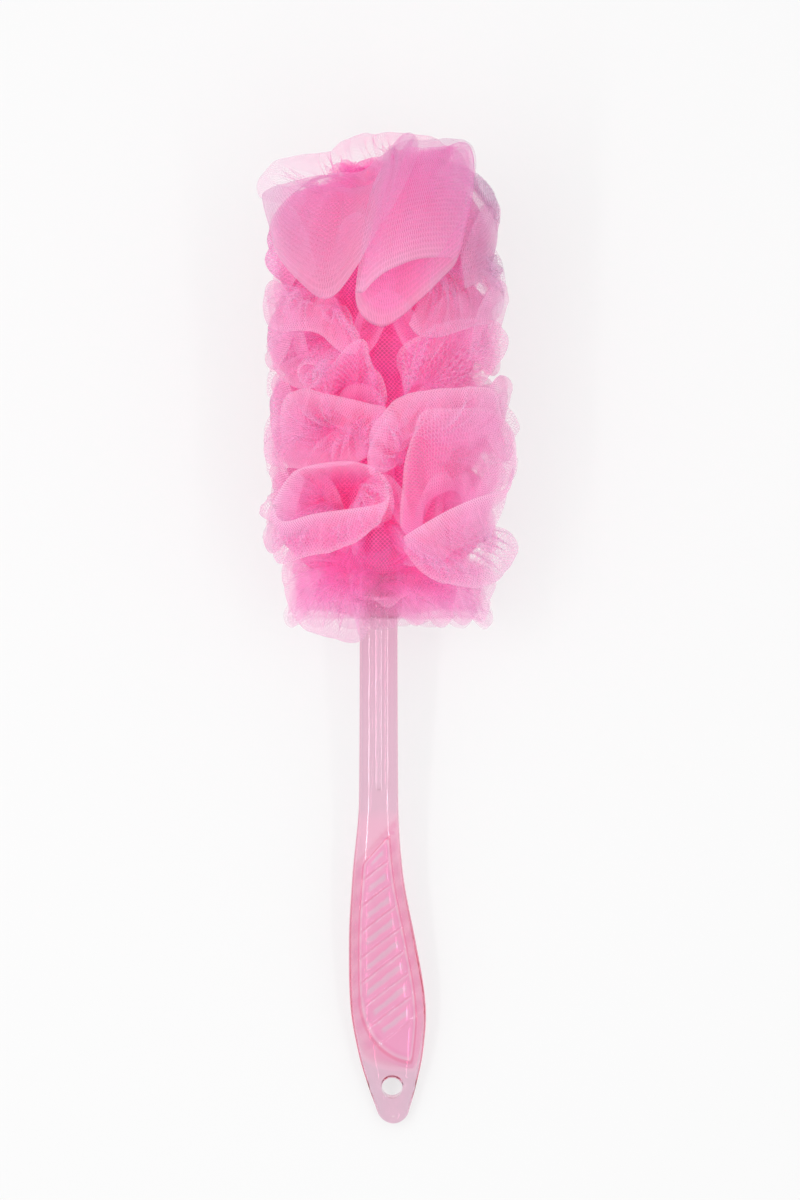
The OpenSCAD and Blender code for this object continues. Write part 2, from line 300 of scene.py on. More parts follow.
middleFolds = [
    # band on the left
    fold([(-3, 75, 34), (0, 85, 37), (3, 91, 38), (-6, 93, 37), (-19, 96, 34), (-29, 99, 29), (-35, 96, 22),
          (-36, 88, 18), (-35, 82, 18), (-38, 74, 14)],
         (-6, 84, 8), rise=(-10, -8, 26), fall=(-4, -6, 6), pleats=6, knit=1.3, seed=21),
    # lobe under the band
    fold([(-40, 86, 14), (-44, 78, 12), (-42, 70, 14), (-30, 68, 26), (-14, 69, 34), (-4, 72, 36)],
         (-4, 88, 8), rise=(-14, 0, 26), fall=(0, 8, 6), knit=1.3, seed=22),
    # broad arc behind the fan
    fold([(-3, 69, 36), (-2, 82, 39), (4, 91, 41), (8, 95, 42), (18, 98, 42), (35, 99, 34), (43, 99, 26),
          (46, 95, 20), (48, 88, 14)],
         (8, 80, 8), rise=(8, -6, 34), fall=(4, -8, 10), puff=5, pleats=6, knit=1.2, seed=23),
    # fan
    fold([(9, 46, 37), (9, 54, 39), (10, 62, 40), (11, 72, 42), (14, 82, 43), (18, 90, 43), (30, 91, 38),
          (44, 91, 24), (52, 84, 12), (54, 74, 10), (53, 66, 12), (49, 58, 18)],
         (26, 50, 26), rise=(-2, 2, 12), fall=(0, -8, 2), spread=10, puff=2.5, pleats=3, depth=0.4,
         slant=0.7, thin=0.8, knit=0.85, deep=0.6, seed=24, nu=120),
    # small lobe beside the fan
    fold([(-3, 65, 38), (-4, 73, 40), (-1, 81, 41), (5, 90, 42)],
         (9, 74, 16), rise=(-2, 0, 20), fall=(3, 0, 2), spread=5, puff=3, pleats=2, depth=0.3, ruffle=0.2,
         knit=1.3, seed=25, nu=50),
    # pale lobe on the left
    fold([(-35, 95, 12), (-42, 91, 8), (-45, 83, 6), (-45, 72, 6), (-42, 64, 8), (-37, 59, 12)],
         (-20, 77, 12), rise=(-8, 0, 8), fall=(4, 0, 4), puff=3, thin=0.4, seed=26, nu=70),
    # pale lobe on the right
    fold([(45, 95, 12), (52, 92, 8), (56, 85, 7), (53, 79, 9), (55, 73, 7), (54, 66, 8), (50, 61, 10)],
         (30, 78, 16), rise=(8, 0, 8), fall=(-4, 0, 5), puff=3, thin=0.45, seed=27, nu=80)]

lowerFolds = [
    # mouth of the scoop
    fold([(-41, 52, 24), (-38, 60, 26), (-32, 67, 31), (-20, 70, 36), (-8, 70, 40), (0, 66, 42),
          (4, 58, 43), (1, 54, 43), (-9, 52, 42), (-25, 50, 37), (-37, 47, 30)],
         (-8, 52, 10), rise=(-4, -2, 14), fall=(0, -6, 0), belly=9, puff=3.2, pleats=9, closed=True,
         knit=1.3, seed=31, nu=120),
    # underside of the scoop
    fold([(4, 58, 42), (1, 47, 40), (-2, 44, 38), (-13, 37, 34), (-25, 34, 30), (-39, 31, 18), (-41, 40, 16)],
         (-6, 56, 10), rise=(-12, 0, 30), fall=(0, 8, 8), pleats=9, deep=0.4, seed=32),
    # tip on the left
    fold([(-38, 60, 20), (-44, 56, 12), (-47, 51, 8), (-42, 47, 12), (-36, 46, 20)],
         (-4, 53, 6), rise=(-16, 0, 16), puff=3, seed=33, nu=60),
    # flap under the fan
    fold([(10, 41, 38), (20, 47, 41), (31, 53, 40), (41, 57, 33), (51, 60, 20)],
         (34, 36, 20), rise=(0, 0, 16), fall=(0, -8, 2), spread=10, puff=3, pleats=4, depth=0.5, ruffle=0.3,
         knit=1.3, seed=34),
    # lobe on the right
    fold([(10, 36, 32), (18, 27, 30), (30, 22, 26), (42, 22, 18), (50, 27, 10), (54, 35, 6), (52, 42, 6)],
         (6, 46, 8), rise=(14, -4, 28), fall=(0, 6, 8), pleats=8, seed=35)]

skirtFolds = [
    # left lobe
    fold([(-30, 34, 16), (-35, 30, 12), (-37, 23, 10), (-35, 13, 8), (-29, 5, 8), (-19, 1, 10), (-8, 0, 13),
          (-8, 8, 16), (-9, 16, 20)],
         (-6, 26, 4), rise=(-14, 4, 24), fall=(2, 8, 8), puff=6, thin=0.8, knit=1.6, seed=41),
    # scalloped right lobe
    fold([(10, 30, 24), (24, 30, 24), (36, 28, 16), (45, 24, 8), (44, 16, 6), (41, 8, 6), (38, 10, 8),
          (34, 6, 9), (29, 10, 11), (25, 6, 12), (20, 10, 14), (15, 6, 15), (9, 10, 18)],
         (5, 24, 4), rise=(14, 6, 20), fall=(0, 4, 8), puff=5, pleats=9, thin=0.7, knit=1.6, seed=42),
    # apron over the neck
    fold([(-22, 20, 12), (-14, 14, 15), (-4, 17, 17), (4, 13, 17), (12, 18, 17), (24, 15, 15), (36, 20, 9)],
         (3, 46, 16), rise=(0, -8, 10), fall=(0, 10, 3), spread=14, puff=3, pleats=3, depth=0.3, thin=0.5,
         seed=43),
    # short frill on the neck
    fold([(-8, 9, 10), (-2, 4, 9), (6, 5, 9), (10, 9, 11), (16, 6, 9), (22, 9, 8)],
         (2, 26, 10), rise=(0, -6, 6), fall=(0, 6, 2), spread=9, puff=2, pleats=4, depth=0.4, thin=0.4,
         seed=44)]


# Plain folds that fill a ruff's sides and back: each rim is an arch on a cylinder round the rod, seven
# points of it, bowed along the rod by the given amount. offset moves the cylinder sideways, and side
# says which way the arches bow: 1 up the head, -1 down it, 0 by turns.
def roundFolds(count, fromAngle, toAngle, y, reach, bow, offset, seed, side=0, thin=1.0, nu=64, nt=18):
    rng = np.random.default_rng(seed)
    folds = []
    for k in range(count):
        turn = math.radians(toAngle - fromAngle) / count
        at = math.radians(fromAngle) + turn * (k + 0.5 + 0.3 * (rng.random() - 0.5))
        half = abs(turn) * (0.8 + 0.3 * rng.random())
        way = side or (1 if (k + seed) % 2 else -1)
        r = reach * (0.9 + 0.1 * rng.random())
        a = np.linspace(-1, 1, 7)
        out = r * (1 - 0.14 * a * a + 0.03 * (rng.random(7) - 0.5))
        ang = at + half * np.sin(a * 1.45)
        ys = y + way * bow * (0.5 - 1.1 * a * a) + 2 * (rng.random(7) - 0.5)
        rim = np.stack([offset + out * np.cos(ang), ys, 0.93 * out * np.sin(ang)], 1).tolist()
        outward = np.array([math.cos(at), 0, math.sin(at)])
        root = (4 * math.cos(at), y, 3 * math.sin(at))
        rise = 0.55 * r * outward - [0, way * 3, 0]
        fall = 0.16 * r * outward - [0, way * 0.4 * bow, 0]
        folds.append(fold(rim, root, rise=rise, fall=fall, puff=4, pleats=5, thin=thin, knit=1.5,
                          seed=seed * 50 + k, nu=nu, nt=nt))
    return folds


# Each ruff: its folds that face up, its middle along the head, its reach from the rod, the bow of its
# plain folds and how far they are moved sideways
ruffs = dict(crown=(crownFolds, 156, 43, 24, 3), upper=(upperFolds, 124, 46, 26, 3),
             middle=(middleFolds, 88, 48, 26, 5), lower=(lowerFolds, 53, 46, 26, 2),
             skirt=(skirtFolds, 20, 40, 20, 4))

# One row of plain folds bows up the head and one down it, round the sides and back. Inside them are a
# row under the folds that face up and a lower row that closes the gap to the next ruff.
for number, (key, (folds, y, reach, bow, offset)) in enumerate(ruffs.items()):
    thin = 0.36 if key == "skirt" else 0.9
    folds += roundFolds(9, -205, 25, y + 5, reach, bow, offset, 70 + number, side=1, thin=thin)
    folds += roundFolds(9, -205, 25, y - 5, reach, bow, offset, 80 + number, side=-1, thin=thin)
    if key != "skirt":
        folds += roundFolds(5, 25, 155, y, 0.72 * reach, bow, offset, 90 + number, nu=40, nt=11)
        folds += roundFolds(6, -178, -2, y - 18, 0.82 * reach, 18, offset, 95 + number, thin=0.7,
                            nu=40, nt=11)
# two short rows close the head's end under the crown, and a rosette its middle
crownFolds += roundFolds(7, -180, 0, 172, 32, 24, 4, 99, side=1, nu=48, nt=13)
crownFolds += roundFolds(6, -175, 5, 181, 25, 18, 6, 98, side=1, nu=40, nt=12)
crownFolds += roundFolds(5, 0, 360, 185, 14, 9, 2, 97, side=1, nu=36, nt=10)

# Each ruff's heart: where it starts and ends along the head, and its radius
hearts = dict(crown=(130, 184, 25), upper=(96, 150, 25), middle=(60, 114, 25), lower=(26, 78, 24),
              skirt=(9, 40, 15))
for number, (key, (low, high, radius)) in enumerate(hearts.items()):
    flat, wide, crowd = (0.5, 1.3, 1.6) if key == "skirt" else (0.8, 1.6, 8.0)
    capped = key == "crown"
    ruffs[key][0].append(heartOfNet(low, high, radius, 61 + number, flat, wide, crowd, capped))


# A new material with an empty node tree.
def newMaterial(name):
    material = bpy.data.materials.new(name)
    material.use_nodes = True
    material.node_tree.nodes.clear()
    return material, material.node_tree


# Sets a socket to a number or a colour, or links it to another node's output.
def give(tree, socket, value):
    if isinstance(value, bpy.types.NodeSocket):
        tree.links.new(value, socket)
    elif isinstance(value, tuple):
        socket.default_value = (*value, 1)
    else:
        socket.default_value = value


# One Math node, with numbers or other nodes' outputs as its values.
def calc(tree, operation, *values, clamp=False):
    node = tree.nodes.new("ShaderNodeMath")
    node.operation = operation
    node.use_clamp = clamp
    for socket, value in zip(node.inputs, values):
        give(tree, socket, value)
    return node.outputs[0]


# Colour between a and b, or a times b, by the factor.
def blend(tree, factor, a, b, way="MIX"):
    node = tree.nodes.new("ShaderNodeMix")
    node.data_type = "RGBA"
    node.blend_type = way
    give(tree, node.inputs["Factor"], factor)
    give(tree, node.inputs["A"], a)
    give(tree, node.inputs["B"], b)
    return node.outputs["Result"]


# 0 at low and 1 at high, and no further.
def ramp(tree, value, low, high):
    node = tree.nodes.new("ShaderNodeMapRange")
    node.inputs["From Min"].default_value = low
    node.inputs["From Max"].default_value = high
    tree.links.new(value, node.inputs["Value"])
    return node.outputs[0]


# Stepped colours along 0 to 1, each given as (place, colour).
def colourSteps(tree, value, steps):
    node = tree.nodes.new("ShaderNodeValToRGB")
    while len(node.color_ramp.elements) < len(steps):
        node.color_ramp.elements.new(0.5)
    for element, (place, colour) in zip(node.color_ramp.elements, steps):
        element.position = place
        element.color = (*colour, 1)
    tree.links.new(value, node.inputs[0])
    return node.outputs[0]


# A value layer of the mesh, by its name.
def readLayer(tree, name):
    node = tree.nodes.new("ShaderNodeAttribute")
    node.attribute_name = name
    return node.outputs["Fac"]


# The three parts of a vector.
def takeApart(tree, vector):
    node = tree.nodes.new("ShaderNodeSeparateXYZ")
    tree.links.new(vector, node.inputs[0])
    return list(node.outputs)


# Links a shader to the material's output, which is made when there is none.
def shadeWith(tree, shader, socket="Surface"):
    out = next((n for n in tree.nodes if n.bl_idname == "ShaderNodeOutputMaterial"), None)
    out = out or tree.nodes.new("ShaderNodeOutputMaterial")
    tree.links.new(shader, out.inputs[socket])


netLook = dict(
    cell=1.6,                         # width of a cell where knit is 1, in mm
    wave=1.6, sway=0.28,              # length and reach of a thread's wave, in cells
    thread=0.45,                      # width of a thread, as a share of half a cell
    line=0.36, haze=0.08,             # cover of one layer on a thread and in a cell
    rimCover=0.25, rimPale=0.6,       # more cover and a paler pink along a rolled rim
    shadedPink=(1.0, 0.26, 0.67), outer=(0.955, 0.645, 0.85),    # pinks near the rod, a painted shade of the deep netting, and far from it
    innerTo=18, outerFrom=46,         # distances from the rod where these pinks hold, in mm
    skirtFrom=5, skirtTo=34,          # the skirt is paler, with less painted shade, below these heights along the head, in mm
    dusty=(0.71, 0.515, 0.68), rim=(0.97, 0.76, 0.88),      # pinks of the painted sheen and shade over the crown, and of a rolled rim
    paintedGlow=0.09, through=0.6, gloss=0.12)                      # painted glow, light let through, and shine


# Knitted netting: two families of threads wave against each other and leave open cells. Its cover
# grows with crowding as 1 minus a power, and its pink is deeper near the rod, a painted shade of the
# deep, layered netting there.
def nettingMaterial():
    look = netLook
    material, tree = newMaterial("knitted pink netting")

    def c(operation, *values, clamp=False):
        return calc(tree, operation, *values, clamp=clamp)

    uv = tree.nodes.new("ShaderNodeUVMap")
    uv.uv_map = "netUv"
    across, along, _ = takeApart(tree, uv.outputs[0])
    cell = look["cell"] * mm
    sway = c("MULTIPLY", c("SINE", c("MULTIPLY", along, tau / (look["wave"] * cell))), look["sway"])
    column = c("ADD", c("DIVIDE", across, cell), sway)
    column2 = c("SUBTRACT", c("DIVIDE", across, cell), sway)
    near1 = c("ABSOLUTE", c("SUBTRACT", c("FRACT", column), 0.5))
    near2 = c("ABSOLUTE", c("SUBTRACT", c("FRACT", c("ADD", column2, 0.5)), 0.5))
    offThread = c("MULTIPLY", c("MINIMUM", near1, near2), 2.0)
    line = c("SUBTRACT", 1.0, c("DIVIDE", offThread, look["thread"], clamp=True))
    nearRim = c("SUBTRACT", 1.0, readLayer(tree, "toRim"))
    base = c("ADD", c("MULTIPLY", line, look["line"]), look["haze"])
    base = c("ADD", base, c("MULTIPLY", c("POWER", nearRim, 6.0), look["rimCover"]), clamp=True)
    cover = c("SUBTRACT", 1.0, c("POWER", c("SUBTRACT", 1.0, base), readLayer(tree, "crowd")), clamp=True)
    # distance from the rod's centre line, in the plane across the head
    x, y, z = takeApart(tree, tree.nodes.new("ShaderNodeTexCoord").outputs["Object"])
    dx = c("SUBTRACT", x, rodX * mm)
    climbed = c("MULTIPLY", c("SUBTRACT", y, headY * mm), math.tan(lieAngle))
    dz = c("SUBTRACT", z, c("ADD", climbed, rodHeight(0) * mm))
    radius = c("SQRT", c("ADD", c("MULTIPLY", dx, dx), c("MULTIPLY", dz, dz)))
    far = ramp(tree, radius, look["innerTo"] * mm, look["outerFrom"] * mm)
    # the skirt is paler towards its lower edge, with less painted shade, and the inside of a mouth is deeper,
    # with more painted shade
    up = ramp(tree, y, (headY + look["skirtFrom"]) * mm, (headY + look["skirtTo"]) * mm)
    pale = c("MAXIMUM", far, c("SUBTRACT", 0.9, up), clamp=True)
    pale = c("SUBTRACT", pale, readLayer(tree, "deep"), clamp=True)
    # painted sheen and shade: the folds over the crown take a duller, greyer pink
    dulled = blend(tree, readLayer(tree, "dust"), look["outer"], look["dusty"])
    # painted shade: a deeper pink near the rod, where the netting lies deep and layered
    tint = blend(tree, pale, look["shadedPink"], dulled)
    rimmed = blend(tree, c("MULTIPLY", c("POWER", nearRim, 9.0), look["rimPale"]), tint, look["rim"])
    cloth = tree.nodes.new("ShaderNodeBsdfPrincipled")
    tree.links.new(rimmed, cloth.inputs["Base Color"])
    cloth.inputs["Roughness"].default_value = 0.5
    cloth.inputs["Specular IOR Level"].default_value = look["gloss"]
    # painted glow: the netting gives off a little light of its pink, most of all where the netting is deep
    tree.links.new(tint, cloth.inputs["Emission Color"])
    tree.links.new(c("MULTIPLY", c("SUBTRACT", 1.0, pale), look["paintedGlow"]), cloth.inputs["Emission Strength"])
    lit = tree.nodes.new("ShaderNodeBsdfTranslucent")
    tree.links.new(rimmed, lit.inputs["Color"])
    both = tree.nodes.new("ShaderNodeMixShader")
    both.inputs[0].default_value = look["through"]
    tree.links.new(cloth.outputs[0], both.inputs[1])
    tree.links.new(lit.outputs[0], both.inputs[2])
    clear = tree.nodes.new("ShaderNodeBsdfTransparent")
    net = tree.nodes.new("ShaderNodeMixShader")
    tree.links.new(cover, net.inputs[0])
    tree.links.new(clear.outputs[0], net.inputs[1])
    tree.links.new(both.outputs[0], net.inputs[2])
    shadeWith(tree, net.outputs[0])
    return material


netMaterial = nettingMaterial()
for key, (folds, *_) in ruffs.items():
    piece, area = nettingPiece(key + "Netting", folds)
    piece.data.materials.append(netMaterial)
    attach(piece, "root")
    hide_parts(key + "_netting")
    print(key, "netting", len(folds), "folds,", len(piece.data.polygons), "faces")


# Handle, in mm and along it from the hanging hole
handle = dict(
    gripW=30.4, gripT=13.0, gripLen=118.0,                             # grip
    endT=7.0, endR=6.6, holeIn=15.0, holeD=8.4,                        # rounded end and hanging hole
    neckW=15.8, neckT=10.0, rodEnd=357.33, power=2.5,                  # neck, rod and squareness of section
    channelW=6.2, channelD=1.2, channelFrom=123.1, channelLen=98.0,    # channel in each flat side
    panelFrom=0.32, panelTo=0.78, panelSlant=13.0,                     # thumb panel's ends, head's slant
    border=4.0, panelD=1.1, edge=0.5, corner=0.35,                     # plastic round it, depth and easing
    ribs=9, ribD=1.8, ribPitch=10.4, ribAngle=38, ribStep=0.09,        # its ribs
    grooveW=2.8, grooveX=2.9, grooveR=3.45, crossHole=1.9,             # seats for the cords
    ties=[199.5, 235.5, 271.5, 307.5, 346.33])


# Smooth cubic through stations of (distance, value): slope at each is its neighbours' chord.
def smoothThrough(stations, y):
    p = np.array(stations, float)
    low = np.maximum(np.arange(len(p)) - 1, 0)
    high = np.minimum(np.arange(len(p)) + 1, len(p) - 1)
    slope = (p[high, 1] - p[low, 1]) / (p[high, 0] - p[low, 0])
    i = np.clip(np.searchsorted(p[:, 0], y) - 1, 0, len(p) - 2)
    h = p[i + 1, 0] - p[i, 0]
    u = (y - p[i, 0]) / h
    return ((2 * u ** 3 - 3 * u ** 2 + 1) * p[i, 1] + (u ** 3 - 2 * u ** 2 + u) * h * slope[i]
            + (3 * u ** 2 - 2 * u ** 3) * p[i + 1, 1] + (u ** 3 - u ** 2) * h * slope[i + 1])


# 0 to 1 with level ends: three squares less two cubes.
def smoothStep(x):
    x = np.clip(x, 0, 1)
    return x * x * (3 - 2 * x)


# Least of several distances, with its corners rounded over about k.
def softLeast(k, *values):
    return -k * np.log(sum(np.exp(-v / k) for v in values))


# Half widths, centre line and half thicknesses of the handle: rounded end, grip, then the straight rod.
def handleOutline(y):
    g = handle
    r = g["endR"]
    c = r - g["holeIn"]
    join = c - 0.37 * r
    w = g["gripW"] / 2
    n = g["gripLen"]
    last = g["rodEnd"]
    neck = g["neckW"] / 2
    width = smoothThrough([(join, 0.93 * r), (0, 0.63 * w), (0.12 * n, 0.86 * w), (0.28 * n, w),
                           (0.5 * n, 0.89 * w), (0.74 * n, 0.67 * w), (n, neck), (last, neck)], y)
    width = np.where(y < join, np.sqrt(np.maximum(r * r - (c - y) ** 2, 0)), width)
    o = holeOffset
    middle = smoothThrough([(-g["holeIn"], 1.1 * o), (0, o), (0.28 * n, 0.7 * o), (0.6 * n, 0.1 * o),
                            (0.76 * n, -0.07 * o), (n, 0), (last, 0)], y)
    end = g["endT"] / 2
    flat = g["neckT"] / 2
    thick = smoothThrough([(-g["holeIn"], end), (0, end), (0.45 * n, g["gripT"] / 2),
                           (0.7 * n, 0.47 * g["gripT"]), (n, flat), (last, flat)], y)
    thick = thick * np.maximum(1 - np.clip((c - y) / r, 0, 1) ** 4, 0) ** 0.25
    return width, middle, thick


# Depth inside the thumb panel's outline: parallel to the grip's edges, a quarter oval at its foot and
# a slanting line at its head.
def insidePanel(x, y):
    g = handle
    border = g["border"]
    foot = g["panelFrom"] * g["gripLen"]
    head = g["panelTo"] * g["gripLen"]
    w, c, _ = handleOutline(y)
    wf, cf, _ = handleOutline(np.array([foot]))
    wh, ch, _ = handleOutline(np.array([head]))
    right = cf + wf - border + 0.6
    span = right - (cf - wf + border)
    drop = foot - g["holeD"] - 2
    oval = 1 - np.sqrt(((right - x) / span) ** 2 + (np.minimum(y - foot, 0) / drop) ** 2)
    leftSide = np.where(y < foot, 0.62 * span * oval, x - c + w - border)
    slant = (x - (ch - wh + border)) / (2 * (wh - border)) * g["panelSlant"]
    return softLeast(g["corner"], c + w - border - x, leftSide, head + slant - y)


# Which rib a place falls on, as a count that grows towards the upper left, with 4 at the grip's middle.
def ribCount(x, y):
    climb = x * math.tan(math.radians(handle["ribAngle"]))
    return (y - handle["gripLen"] / 2 - climb) / handle["ribPitch"] + 4


# Top of the ribs: a saw-tooth that rises to each rib's upper left edge and drops there in a short step.
def ribTop(x, y):
    g = handle
    s = ribCount(x, y)
    inRib = s - np.floor(s)
    step = g["ribStep"]
    saw = np.where(inRib < step, 1 - smoothStep(inRib / step), (inRib - step) / (1 - step))
    saw = np.where(s < 0, 1.0, np.where(s > g["ribs"], 0.0, saw))
    return g["gripT"] / 2 - g["panelD"] - g["ribD"] * (1 - saw)


# Skin of the handle: an oval section of the given power swept from the grip end to the rod's end. The
# panel lowers its top to the ribs, each channel lowers a flat side to a cylinder with ball ends, and
# each tie seat narrows it to a stadium.
def handleSkin():
    g = handle
    end = -g["holeIn"] + 8 * (1 - np.cos(np.linspace(0.06, math.pi / 2, 26)))
    rows = [end, np.arange(-6.4, 8, 0.8), np.arange(8, 101, 0.42), np.arange(101, g["rodEnd"] - 1, 2.3)]
    for tie in g["ties"]:
        rows.append(tie + np.array([-1.55, -1.4, -1.36, 0, 1.36, 1.4, 1.55]))
    atChannelEnds = [-2.9, -2.6, -2, -1.2, g["channelLen"] + 1.2, g["channelLen"] + 2.6]
    rows.append(g["channelFrom"] + np.array(atChannelEnds))
    rows.append(g["rodEnd"] - 0.8 * (1 - np.sin(np.linspace(0, math.pi / 2, 6))))
    y = np.unique(np.round(np.concatenate(rows), 3))
    topHalf = np.linspace(0, math.pi, 110, endpoint=False)
    lowHalf = np.linspace(math.pi, tau, 64, endpoint=False)
    a = np.concatenate([topHalf, lowHalf])
    w, c, h = handleOutline(y)
    toEnd = np.clip((g["rodEnd"] - y) / 0.8, 0, 1)
    shrink = 0.8 * (1 - np.sqrt(toEnd * (2 - toEnd)))
    bulgeX, bulgeZ = [np.sign(f(a)) * np.abs(f(a)) ** (2 / g["power"]) for f in (np.cos, np.sin)]
    x = c[:, None] + (w - shrink)[:, None] * bulgeX
    z = (h - shrink)[:, None] * bulgeZ
    yy = np.broadcast_to(y[:, None], x.shape)
    panel = smoothStep(insidePanel(x, yy) / g["edge"] + 0.5) * (z > 0)
    z = z + panel * np.minimum(ribTop(x, yy) - z, 0)
    r = (g["channelW"] ** 2 / 4 + g["channelD"] ** 2) / (2 * g["channelD"])
    past = yy - np.clip(yy, g["channelFrom"], g["channelFrom"] + g["channelLen"])
    floor = g["neckT"] / 2 - g["channelD"] + r - np.sqrt(np.maximum(r * r - x * x - past * past, 0))
    inChannel = (np.abs(x) < g["channelW"] / 2 + 0.4) & (past ** 2 < 12)
    z = np.where(inChannel, np.sign(z) * np.minimum(np.abs(z), floor), z)
    seat = np.min(np.abs(y[:, None] - np.array(g["ties"])), 1) < g["grooveW"] / 2 - 0.01
    seatX = g["grooveX"] * np.clip(3 * np.cos(a), -1, 1) + g["grooveR"] * np.cos(a)
    x = np.where(seat[:, None], seatX, x)
    z = np.where(seat[:, None], g["grooveR"] * np.sin(a), z)
    n, m = x.shape
    verts = np.stack([x, yy, z], -1).reshape(-1, 3)
    i, j = np.meshgrid(np.arange(n - 1), np.arange(m), indexing="ij")
    q = i * m + j
    p = i * m + (j + 1) % m
    quads = np.stack([q, q + m, p + m, p], -1).reshape(-1, 4).tolist()
    caps = [list(range(m)), list(range((n - 1) * m, n * m))[::-1]]
    return verts, quads + caps


# Cutter: a ring of rounds along its own axis, each (distance, radius), capped at both ends.
def spindle(profile, place, axis, n=72):
    axis = np.array(axis, float)
    side = np.cross(axis, [0.3, 0.5, 0.8])
    side /= np.linalg.norm(side)
    other = np.cross(axis, side)
    a = tau * np.arange(n) / n
    ring = np.cos(a)[:, None] * side + np.sin(a)[:, None] * other
    p = np.array(profile, float)
    verts = (np.array(place) + p[:, :1, None] * axis + p[:, 1:, None] * ring).reshape(-1, 3)
    i, j = np.meshgrid(np.arange(len(p) - 1), np.arange(n), indexing="ij")
    q = i * n + j
    o = i * n + (j + 1) % n
    quads = np.stack([q, o, o + n, q + n], -1).reshape(-1, 4).tolist()
    return verts, quads + [list(range(n))[::-1], list(range((len(p) - 1) * n, len(p) * n))]


# Hanging hole with eased edges, and the cross hole of each tie cord, cut from the handle in one go.
def handlePiece():
    g = handle
    verts, faces = handleSkin()
    handleMesh = bpy.data.meshes.new("handle")
    handleMesh.from_pydata((laid(verts) * mm).tolist(), [], faces)
    handleMesh.polygons.foreach_set("use_smooth", np.ones(len(faces), bool))
    piece = bpy.data.objects.new("handleBody", handleMesh)
    scene.collection.objects.link(piece)
    a = np.linspace(0, 1.2, 7)
    r = g["holeD"] / 2
    t = g["endT"] / 2 + 0.25
    rise = [(t + 0.8 * np.sin(v) - 0.8, r + 0.8 * (1 - np.cos(v))) for v in a]
    profile = [(-h, q) for h, q in rise[::-1]] + rise
    first = (profile[0][0] - 3, profile[0][1] + 1.2)
    last = (profile[-1][0] + 3, profile[-1][1] + 1.2)
    profile = [first] + profile + [last]
    cutters = [spindle(profile, (holeOffset, 0, 0), (0, 0, 1))]
    bit = g["crossHole"] / 2
    for tie in g["ties"]:
        cutters.append(spindle([(-9, bit), (9, bit)], (0, tie, 0), (1, 0, 0), 20))
    allVerts = []
    allFaces = []
    start = 0
    for v, f in cutters:
        allVerts.append(v)
        allFaces += [[k + start for k in face] for face in f]
        start += len(v)
    cutMesh = bpy.data.meshes.new("cutter")
    cutMesh.from_pydata((laid(np.concatenate(allVerts)) * mm).tolist(), [], allFaces)
    cutter = bpy.data.objects.new("handleCutter", cutMesh)
    scene.collection.objects.link(cutter)
    cut = piece.modifiers.new("holes", "BOOLEAN")
    cut.operation = "DIFFERENCE"
    cut.solver = "EXACT"
    cut.object = cutter
    bpy.context.view_layer.update()
    done = bpy.data.meshes.new_from_object(piece.evaluated_get(bpy.context.evaluated_depsgraph_get()))
    piece.modifiers.clear()
    piece.data = done
    bpy.data.objects.remove(cutter)
    return piece


plasticLook = dict(
    tint=(0.885, 0.735, 0.845), gripTint=(0.985, 0.745, 0.88),      # neck, and the grip round its panel
    panelTint=(1.0, 0.445, 0.75),
    keep=(0.93, 0.0, 0.27), density=30.0,            # colour kept inside, and how strongly the rest goes
    bandWobble=0.22, bandWobbleScale=170.0,                      # uneven bend of the painted rib bands
    ior=1.46, rough=0.06)
